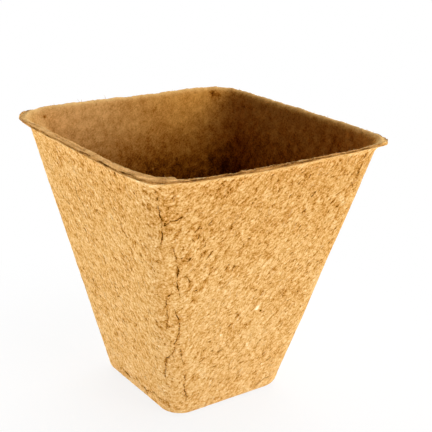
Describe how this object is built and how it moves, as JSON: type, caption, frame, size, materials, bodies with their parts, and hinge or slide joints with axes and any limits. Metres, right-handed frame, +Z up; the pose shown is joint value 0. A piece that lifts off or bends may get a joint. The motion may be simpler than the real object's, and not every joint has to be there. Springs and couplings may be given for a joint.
{
  "type": "peat pot",
  "caption": "Small square plant pot of moulded peat and wood fibre, tapered, with round corners, a short flared lip and a drain hole in the floor.",
  "frame": {"origin": "on the standing surface, under the middle of the pot", "axes": "+Z up through the mouth, +X and +Y square to the side walls"},
  "size_m": [0.08, 0.08, 0.0785],
  "materials": {
    "moulded_fibre": "rough pressed peat and wood fibre, uncoated"
  },
  "bodies": {
    "root": {"pot": "moulded_fibre"}
  },
  "joints": []
}
